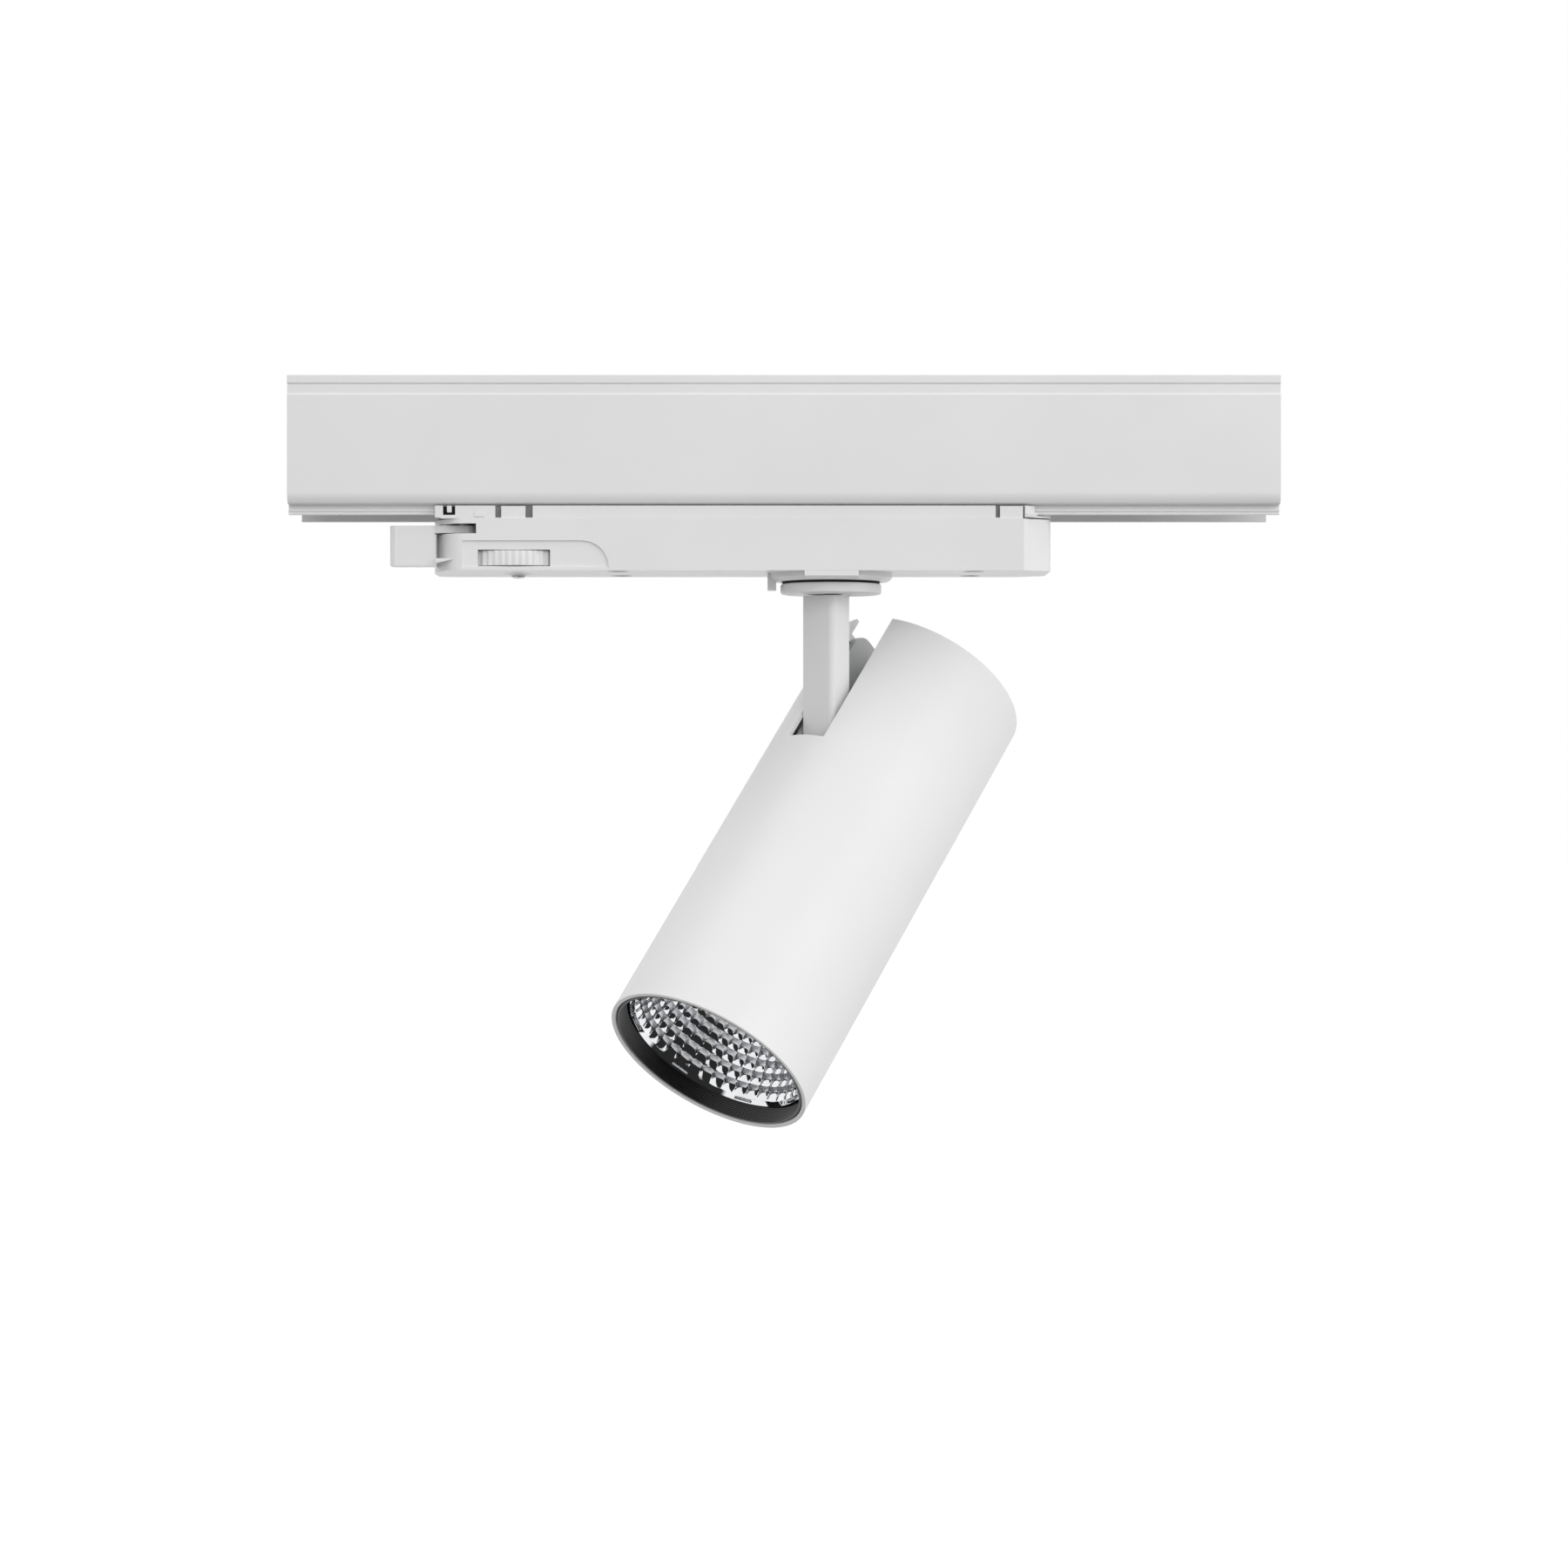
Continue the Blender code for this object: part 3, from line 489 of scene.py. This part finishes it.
screwSettings = {
    "sides": 40, "crossSpan": 3.0, "crossHalf": 0.3, "crossLow": -49.5, "crossHigh": -47.6,
    "profile": [(0.4, -48.8), (1.6, -48.75), (2.2, -48.5), (2.5, -48.0),
                (2.5, -46.9), (1.3, -46.9), (1.3, -30.4), (0.9, -29.8)]}
for index in (1, 2, 3, 4):
    nodeName = f"housing_screw_{index}"
    low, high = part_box(nodeName)
    x, y = (low[0] + high[0]) / 2 / mm, (low[1] + high[1]) / 2 / mm
    screw = turnProfile(f"housingScrew{index}", screwSettings["profile"], screwSettings["sides"],
                        closed=False)
    placeBy(screw, Matrix.Translation((x * mm, y * mm, 0)))
    cutAway(screw, crossCutter(x, y, screwSettings))
    finishPiece(screw, "adapter", zincSteel, [nodeName])

dialScrewSettings = {
    "sides": 48, "crossSpan": 2.2, "crossHalf": 0.3, "crossLow": -50.6, "crossHigh": -49.7,
    "profile": [(0.4, -50.28), (1.1, -50.26), (1.6, -50.15), (1.8, -49.98),
                (1.8, -49.87), (1.3, -49.85), (1.3, -44.9), (0.3, -44.9)]}
dialScrew = turnProfile("dialScrew", dialScrewSettings["profile"], dialScrewSettings["sides"], closed=False)
placeBy(dialScrew, Matrix.Translation((dialPoint.x, dialPoint.y, 0)))
cutAway(dialScrew, crossCutter(dialPoint.x / mm, dialPoint.y / mm, dialScrewSettings))
finishPiece(dialScrew, "adapter", zincSteel, ["dial_screw"])

gearSettings = (  # node, piece, slot, material and edge round of what sits inside the adapter
    ("driver_board", "driverBoard", "circuit_board", circuitBoard, 0.1),
    ("transformer", "transformerBlock", "black_plastic", blackFerrite, 0.6),
    ("capacitor", "capacitorCan", "black_plastic", mattBlack, 0.5),
    ("choke", "chokeRing", "bare_copper", bareCopper, 0.6),
    ("terminal_block", "terminalBlock", "grey_plastic", greyPbt, 0.4),
    ("neutral_contact", "neutralContact", "bare_copper", bareCopper, 0.2),
    ("live_contact", "liveContact", "bare_copper", bareCopper, 0.2),
    ("earth_contact", "earthContact", "bare_copper", bareCopper, 0.3),
    ("swivel_bush", "swivelBush", "grey_plastic", greyPbt, 0.2),
)
for nodeName, pieceName, slotName, material, edge in gearSettings:
    piece = copyOfNode(pieceName, nodeName)
    softenEdges(piece, edge)
    finishPiece(piece, "adapter", material, [nodeName])
print("adapter done")


leverSettings = {"edge": 0.18, "shaftEdge": 0.15, "smooth": 8}  # the low angle keeps the grip's ribs crisp
lever = copyOfNode("latchLever", "lock_lever")
softenEdges(lever, leverSettings["edge"])
finishPiece(lever, "lever", polycarbonate, ["lock_lever"], smooth=leverSettings["smooth"])
for nodeName, pieceName in (("lever_shaft", "leverShaft"), ("latch_cam", "latchCam")):
    piece = copyOfNode(pieceName, nodeName)
    softenEdges(piece, leverSettings["shaftEdge"])
    finishPiece(piece, "lever", zincSteel, [nodeName])

dialSettings = {"edge": 0.16, "bevelFrom": 25}
for nodeName, pieceName in (
    ("circuit_dial", "circuitDial"),
    ("dial_shaft", "dialShaft"),
    ("selector_cam", "selectorCam"),
):
    piece = copyOfNode(pieceName, nodeName)
    softenEdges(piece, dialSettings["edge"], degrees=dialSettings["bevelFrom"])
    finishPiece(piece, "dial", polycarbonate, [nodeName])
print("lever and dial done")


diskSettings = {"radius": 12.9, "top": -51.7, "bottom": -54.5, "bore": 5.1, "sides": 128,
                "lowerRound": [(0.9, 0), (0.35, 0.12), (0.08, 0.35), (0, 0.7)],
                "upperRound": [(0, 0.6), (0.12, 0.3), (0.4, 0.08), (0.8, 0)]}
low, top = diskSettings["bottom"], diskSettings["top"]
radius, bore = diskSettings["radius"], diskSettings["bore"]
profile = [(bore, low)]
profile += [(radius - inset, low + rise) for inset, rise in diskSettings["lowerRound"]]
profile += [(radius - inset, top - drop) for inset, drop in diskSettings["upperRound"]]
profile += [(bore, top)]
swivelDisk = turnProfile("swivelDisk", profile, diskSettings["sides"])
placeBy(swivelDisk, panPlace)
finishPiece(swivelDisk, "swivel", powderCoat, ["swivel_disk"])

gasketSettings = {
    "sides": 128,
    "profile": [(5.4, -51.58), (12.4, -51.58), (12.56, -51.52), (12.6, -51.45),
                (12.56, -51.38), (12.4, -51.32), (5.4, -51.32)]}
gasket = turnProfile("swivelGasket", gasketSettings["profile"], gasketSettings["sides"])
placeBy(gasket, panPlace)
finishPiece(gasket, "swivel", rubberSeal, ["swivel_gasket"])

armSettings = {"edge": 0.35, "bevelFrom": 25, "smooth": 40, "fixingEdge": 0.2}
arm = copyOfNode("hangingArm", "stem_arm")
softenEdges(arm, armSettings["edge"], segments=3, degrees=armSettings["bevelFrom"])
finishPiece(arm, "swivel", powderCoat, ["stem_arm"], smooth=armSettings["smooth"])
for nodeName, pieceName in (
    ("spring_washer", "springWasher"),
    ("swivel_nut", "swivelNut"),
    ("swivel_tube", "swivelTube"),
):
    piece = copyOfNode(pieceName, nodeName)
    softenEdges(piece, armSettings["fixingEdge"])
    finishPiece(piece, "swivel", zincSteel, [nodeName])
print("swivel done")


headSettings = {"radius": 27.0, "inner": 25.9, "front": -88.7, "middle": -10.0, "rear": 36.0,
                "round": 0.25, "roundEase": 0.07, "sides": 192, "edge": 0.12, "bevelFrom": 40, "smooth": 25,
                "slotLeft": -5.35, "slotRight": 6.8, "slotEnd": -4.5, "slotInside": 8.9, "slotOutside": 40,
                "slotPast": 6, "slotCorner": 0.5}
outer, inner, middle = headSettings["radius"], headSettings["inner"], headSettings["middle"]
front, rear = headSettings["front"], headSettings["rear"]
rim, ease = headSettings["round"], headSettings["roundEase"]
tube = turnProfile("lampTube", [
    (inner, front + rim), (inner + rim, front), (outer - rim, front), (outer - ease, front + ease),
    (outer, front + rim), (outer, middle), (outer, rear - rim), (outer - ease, rear - ease),
    (outer - rim, rear), (inner + rim, rear), (inner, rear - rim), (inner, middle)], headSettings["sides"])
slotEnd = headSettings["slotEnd"]
slotCutter = addBlock(
    "slotCutter", (headSettings["slotInside"], headSettings["slotLeft"], slotEnd),
    (headSettings["slotOutside"], headSettings["slotRight"], rear + headSettings["slotPast"]))
near = 0.01 * mm
mesh = editing(slotCutter)
bpy.ops.mesh.select_all(action="DESELECT")
bpy.ops.mesh.select_mode(type="EDGE")
for edge in mesh.edges:  # small corner radius at the slot's closed end
    ends = [vertex.co for vertex in edge.verts]
    atSlotEnd = all(abs(co.z - slotEnd * mm) < near for co in ends)
    edge.select_set(atSlotEnd and abs(ends[0].y - ends[1].y) < near)
bmesh.update_edit_mesh(slotCutter.data)
bpy.ops.mesh.bevel(offset=headSettings["slotCorner"] * mm, segments=4, affect="EDGES")
leaveEdit()
cutAway(tube, slotCutter)
softenEdges(tube, headSettings["edge"], degrees=headSettings["bevelFrom"])
placeBy(tube, headPlace)
finishPiece(tube, "head", powderCoat, ["head_tube"], smooth=headSettings["smooth"])

coverSettings = {
    "sides": 128, "edge": 0.12, "bevelFrom": 40, "smooth": 30,
    "profile": [(0.5, 31.4), (25.3, 31.4), (25.6, 31.7), (25.6, 33.0), (25.5, 33.3), (25.2, 33.4),
                (21.0, 33.4), (20.6, 33.0), (20.2, 33.0), (19.8, 33.4), (0.5, 33.4)],
    "armSlotLow": (11.5, -7.6, 25), "armSlotHigh": (40, 7.6, 40),
    "airSlots": 7, "airSlotStart": -14.0, "airSlotPitch": 3.2, "airSlotHalf": 0.6, "airSlotReach": 13.0,
    "airSlotLow": 30, "airSlotHigh": 35}
cover = turnProfile("rearCover", coverSettings["profile"], coverSettings["sides"], closed=False)
cutAway(cover, addBlock("coverSlot", coverSettings["armSlotLow"], coverSettings["armSlotHigh"]))
half, reach = coverSettings["airSlotHalf"], coverSettings["airSlotReach"]
for index in range(coverSettings["airSlots"]):  # a row of air slots beside the arm's opening
    x = coverSettings["airSlotStart"] + index * coverSettings["airSlotPitch"]
    cutAway(cover, addBlock("airSlot", (x - half, -reach, coverSettings["airSlotLow"]),
                            (x + half, reach, coverSettings["airSlotHigh"])))
softenEdges(cover, coverSettings["edge"], degrees=coverSettings["bevelFrom"])
placeBy(cover, headPlace)
finishPiece(cover, "head", powderCoat, ["rear_cover"], smooth=coverSettings["smooth"])

baffleSettings = {"inner": 25.0, "outer": 25.6, "seat": 25.2, "front": -88.3, "step": -81.0, "rear": -83.7,
                  "lead": 0.3, "leadDepth": 0.1, "land": 0.2, "pitch": 0.55, "groove": 0.22,
                  "grooveFrom": 0.45, "grooveTo": 0.55, "sides": 160, "smooth": 25}
inner, outer, seat = baffleSettings["inner"], baffleSettings["outer"], baffleSettings["seat"]
front, step, rear = baffleSettings["front"], baffleSettings["step"], baffleSettings["rear"]
pitch, root = baffleSettings["pitch"], inner + baffleSettings["groove"]
profile = [(inner + baffleSettings["lead"], front), (outer, front + baffleSettings["leadDepth"]),
           (outer, step), (seat, step), (seat, rear), (inner, rear)]
height = rear - baffleSettings["land"]
while height > front + pitch:  # one light-trapping groove after another
    profile.append((inner, height))
    profile.append((root, height - pitch * baffleSettings["grooveFrom"]))
    profile.append((root, height - pitch * baffleSettings["grooveTo"]))
    height -= pitch
    profile.append((inner, height))
baffle = turnProfile("antiGlareRing", profile, baffleSettings["sides"])
placeBy(baffle, headPlace)
finishPiece(baffle, "head", mattBlack, ["front_baffle"], smooth=baffleSettings["smooth"])
print("tube, cover and front ring done")


# rows of pillow facets in straight columns, each bulging into the bowl
reflectorSettings = {"columns": 42, "cut": 8, "bulge": 0.55, "slant": 0.45, "neck": 8.8, "mouth": 23.4,
                     "neckHeight": -50.9, "mouthHeight": -82.9, "curve": 0.85, "wall": 0.35, "smooth": 50,
                     "facetLength": 1.15, "bowlLength": 36.0, "shortestRow": 0.02, "mostRows": 40}
settings = reflectorSettings


def bowlPoint(t):
    # t runs 0 at the neck to 1 at the mouth
    widening = (0.01 + 0.99 * t) ** settings["curve"]
    radius = settings["neck"] + (settings["mouth"] - settings["neck"]) * widening
    height = settings["neckHeight"] + (settings["mouthHeight"] - settings["neckHeight"]) * t
    return radius, height


def bowlLevels():
    # row edges spaced so that a facet stays nearly square as the bowl widens
    edges = [0.0]
    while edges[-1] < 1.0 and len(edges) < settings["mostRows"]:
        radius = bowlPoint(edges[-1])[0]
        facet = 2 * math.pi * radius / settings["columns"] * settings["facetLength"]
        edges.append(edges[-1] + max(facet / settings["bowlLength"], settings["shortestRow"]))
    last = edges[-1]
    return [edge / last for edge in edges]


levels = bowlLevels()
profile = []
phases = []  # how far along its row each ring lies, 0 to 1
for start, end in zip(levels, levels[1:]):
    for part in range(settings["cut"]):
        profile.append(bowlPoint(start + (end - start) * part / settings["cut"]))
        phases.append(part / settings["cut"])
profile.append(bowlPoint(1.0))
phases.append(1.0)
bowl = startRing("facetedReflector", *profile[0], settings["columns"] * settings["cut"])
for here, there in zip(profile, profile[1:]):
    nextRing(*here, *there)
leaveEdit()
ringHeights = [height * mm for _, height in profile]
for vertex in bowl.data.vertices:
    ring = min(range(len(ringHeights)), key=lambda i: abs(ringHeights[i] - vertex.co.z))
    along = phases[ring]
    around = math.atan2(vertex.co.y, vertex.co.x) / (2 * math.pi) * settings["columns"] % 1.0
    flat = Vector((vertex.co.x, vertex.co.y, 0))
    shape = (1 - (2 * around - 1) ** 2) * (1 - (2 * along - 1) ** 2)
    size = flat.length / (settings["mouth"] * mm)
    vertex.co -= flat.normalized() * shape * settings["bulge"] * size * mm
    vertex.co.z -= shape * settings["bulge"] * size * settings["slant"] * mm
editing(bowl)
bpy.ops.mesh.select_all(action="SELECT")
bpy.ops.mesh.normals_make_consistent(inside=True)
bpy.ops.mesh.select_all(action="DESELECT")
leaveEdit()
wall = bowl.modifiers.new("wall", "SOLIDIFY")
wall.thickness = settings["wall"] * mm
wall.offset = -1
applyModifiers(bowl)
placeBy(bowl, headPlace)
finishPiece(bowl, "head", mirrorCoat, ["reflector"], smooth=settings["smooth"])

# the bowl's plain bright collar with its seating lugs
collarSettings = {
    "sides": 192, "smooth": 35,
    "profile": [(23.3, -82.8), (23.9, -84.25), (24.15, -84.3), (24.25, -84.2),
                (24.3, -83.6), (23.9, -82.6), (23.5, -82.6)]}
collar = turnProfile("reflectorCollar", collarSettings["profile"], collarSettings["sides"])
placeBy(collar, headPlace)
finishPiece(collar, "head", mirrorCoat, smooth=collarSettings["smooth"])

lugSettings = {"count": 8, "shift": 0.4, "edge": 0.15,
               "low": (23.2, -2.4, -84.05), "high": (24.1, 2.4, -83.3)}
for index in range(lugSettings["count"]):
    lug = addBlock(f"seatingLug{index}", lugSettings["low"], lugSettings["high"])
    softenEdges(lug, lugSettings["edge"])
    turn = 2 * math.pi * (index + lugSettings["shift"]) / lugSettings["count"]
    placeBy(lug, headPlace @ Matrix.Rotation(turn, 4, "Z"))
    finishPiece(lug, "head", mirrorCoat)
print("reflector done")


lampSettings = (  # node, piece, slot, material and edge round of what sits inside the head
    ("thermal_pad", "thermalPad", "grey_plastic", siliconePad, 0.1),
    ("led_board", "lampBoard", "circuit_board", whiteBoard, 0.15),
    ("led_emitter", "lampEmitter", "phosphor", phosphor, 0.25),
    ("led_holder", "lampHolder", "white_plastic", polycarbonate, 0.3),
    ("heat_sink", "finnedHeatSink", "cast_aluminium", castAluminium, 0.25),
    ("hinge_bracket", "hingeBracket", "grey_paint", greyCoat, 0.2),
    ("bracket_screw_1", "bracketScrew1", "zinc_steel", zincSteel, 0.25),
    ("bracket_screw_2", "bracketScrew2", "zinc_steel", zincSteel, 0.25),
    ("hinge_pin", "hingePin", "zinc_steel", zincSteel, 0.3),
    ("hinge_nut", "hingeNut", "zinc_steel", zincSteel, 0.25),
    ("friction_washer_left", "frictionWasherLeft", "zinc_steel", zincSteel, 0.08),
    ("friction_washer_right", "frictionWasherRight", "zinc_steel", zincSteel, 0.08),
)
for nodeName, pieceName, slotName, material, edge in lampSettings:
    piece = copyOfNode(pieceName, nodeName)
    softenEdges(piece, edge)
    finishPiece(piece, "head", material, [nodeName])
print("lamp and hinge done")


# the studio's sizes are in metres, and its spans are parts of a direction's length
studioSettings = {
    "floorHeight": -0.42, "floorSize": 30.0,
    "leftSide": 0.66, "rightSide": 1.06, "below": 0.42, "belowSpan": (-0.9, 0.1),
    "behindCamera": 0.10, "behindSpan": (-0.90, -0.60),
    "mirrorDark": 0.03, "mirrorBright": 1.15,
    "mirrorBackSpan": (-0.45, -0.33), "mirrorLeftSpan": (-0.50, -0.40)}
bpy.ops.mesh.primitive_plane_add(size=studioSettings["floorSize"],
                                 location=(0, 0, studioSettings["floorHeight"]))
floor = newest("studioFloor")
floorPaint, tree, shader = newMaterial("whiteStudioFloor", {
    "Base Color": toLinear("F6F6F6"), "Roughness": 0.9, "Specular IOR Level": 0.1,
    "Emission Color": (1, 1, 1, 1), "Emission Strength": 0.35})
floor.data.materials.append(floorPaint)
floor.visible_glossy = False
floor.visible_diffuse = False  # the room's own brightness stands for its bounce

# the studio room: white walls to the right, greyer to the left and below, and dark behind the camera
world = bpy.data.worlds.new("studioWorld")
bpy.context.scene.world = world
world.use_nodes = True
tree = world.node_tree
background = tree.nodes["Background"]
background.inputs["Color"].default_value = (1, 1, 1, 1)
direction = addNode(tree, "ShaderNodeTexCoord").outputs["Generated"]
split = addNode(tree, "ShaderNodeSeparateXYZ", links={"Vector": direction})
across = addNode(tree, "ShaderNodeMapRange", {
    "From Min": -1.0, "From Max": 1.0,
    "To Min": studioSettings["leftSide"], "To Max": studioSettings["rightSide"]},
    {"Value": split.outputs["X"]})
lower = addNode(tree, "ShaderNodeMapRange", {
    "From Min": studioSettings["belowSpan"][0], "From Max": studioSettings["belowSpan"][1],
    "To Min": studioSettings["below"], "To Max": 1.0}, {"Value": split.outputs["Z"]})
dark = addNode(tree, "ShaderNodeMapRange", {
    "interpolation_type": "SMOOTHSTEP",
    "From Min": studioSettings["behindSpan"][0], "From Max": studioSettings["behindSpan"][1],
    "To Min": studioSettings["behindCamera"], "To Max": 1.0}, {"Value": split.outputs["Y"]})
sides = addNode(tree, "ShaderNodeMath", {"operation": "MULTIPLY"})
room = addNode(tree, "ShaderNodeMath", {"operation": "MULTIPLY"})
tree.links.new(across.outputs["Result"], sides.inputs[0])
tree.links.new(lower.outputs["Result"], sides.inputs[1])
tree.links.new(sides.outputs["Value"], room.inputs[0])
tree.links.new(dark.outputs["Result"], room.inputs[1])
# reflections see a bright sweep behind and to the left, and the unlit half of the room in front
mirrorBack = addNode(tree, "ShaderNodeMapRange", {
    "interpolation_type": "SMOOTHSTEP",
    "From Min": studioSettings["mirrorBackSpan"][0], "From Max": studioSettings["mirrorBackSpan"][1],
    "To Min": studioSettings["mirrorDark"], "To Max": studioSettings["mirrorBright"]},
    {"Value": split.outputs["Y"]})
mirrorLeft = addNode(tree, "ShaderNodeMapRange", {
    "interpolation_type": "SMOOTHSTEP",
    "From Min": studioSettings["mirrorLeftSpan"][0], "From Max": studioSettings["mirrorLeftSpan"][1],
    "To Min": studioSettings["mirrorBright"], "To Max": studioSettings["mirrorDark"]},
    {"Value": split.outputs["X"]})
mirror = addNode(tree, "ShaderNodeMath", {"operation": "MAXIMUM"})
tree.links.new(mirrorBack.outputs["Result"], mirror.inputs[0])
tree.links.new(mirrorLeft.outputs["Result"], mirror.inputs[1])
path = addNode(tree, "ShaderNodeLightPath")
glossy = addNode(tree, "ShaderNodeMix", {"data_type": "FLOAT"})
tree.links.new(path.outputs["Is Glossy Ray"], glossy.inputs[0])
tree.links.new(room.outputs["Value"], glossy.inputs[2])
tree.links.new(mirror.outputs["Value"], glossy.inputs[3])
choice = addNode(tree, "ShaderNodeMix", {"data_type": "FLOAT"})
tree.links.new(path.outputs["Is Camera Ray"], choice.inputs[0])
tree.links.new(glossy.outputs[0], choice.inputs[2])
choice.inputs[3].default_value = 1.0
tree.links.new(choice.outputs[0], background.inputs["Strength"])

# place, size and power in watts of each softbox, and whether reflections show it
softboxSettings = {
    "keyRight": ((1.6, -1.2, 0.7), (1.2, 1.2), 7, True),
    "frontFill": ((0.25, -2.3, 0.6), (1.8, 1.8), 26, False),
    "topFill": ((-0.2, -0.5, 1.6), (1.6, 1.2), 3, True),
}
softboxAim = (0, 0, -0.1)
for name, (place, size, power, seen) in softboxSettings.items():
    light = bpy.data.lights.new(name, "AREA")
    light.shape = "RECTANGLE"
    light.size, light.size_y = size
    light.energy = power
    softbox = bpy.data.objects.new(name, light)
    bpy.context.scene.collection.objects.link(softbox)
    softbox.location = place
    softbox.rotation_euler = (Vector(softboxAim) - Vector(place)).to_track_quat("-Z", "Y").to_euler()
    softbox.visible_glossy = seen

cameraSettings = {"lens": 93.8, "sensor": 36, "near": 0.05, "far": 60, "place": (0, -1.0453, -0.1029)}
camera = bpy.data.cameras.new("studioCamera")
camera.lens = cameraSettings["lens"]
camera.sensor_width = cameraSettings["sensor"]
camera.clip_start = cameraSettings["near"]
camera.clip_end = cameraSettings["far"]
cameraObject = bpy.data.objects.new("studioCamera", camera)
cameraObject.location = cameraSettings["place"]
cameraObject.rotation_euler = (math.radians(90), 0, 0)
bpy.context.scene.collection.objects.link(cameraObject)
bpy.context.scene.camera = cameraObject
bpy.context.scene.view_settings.view_transform = "Standard"
print("studio set")
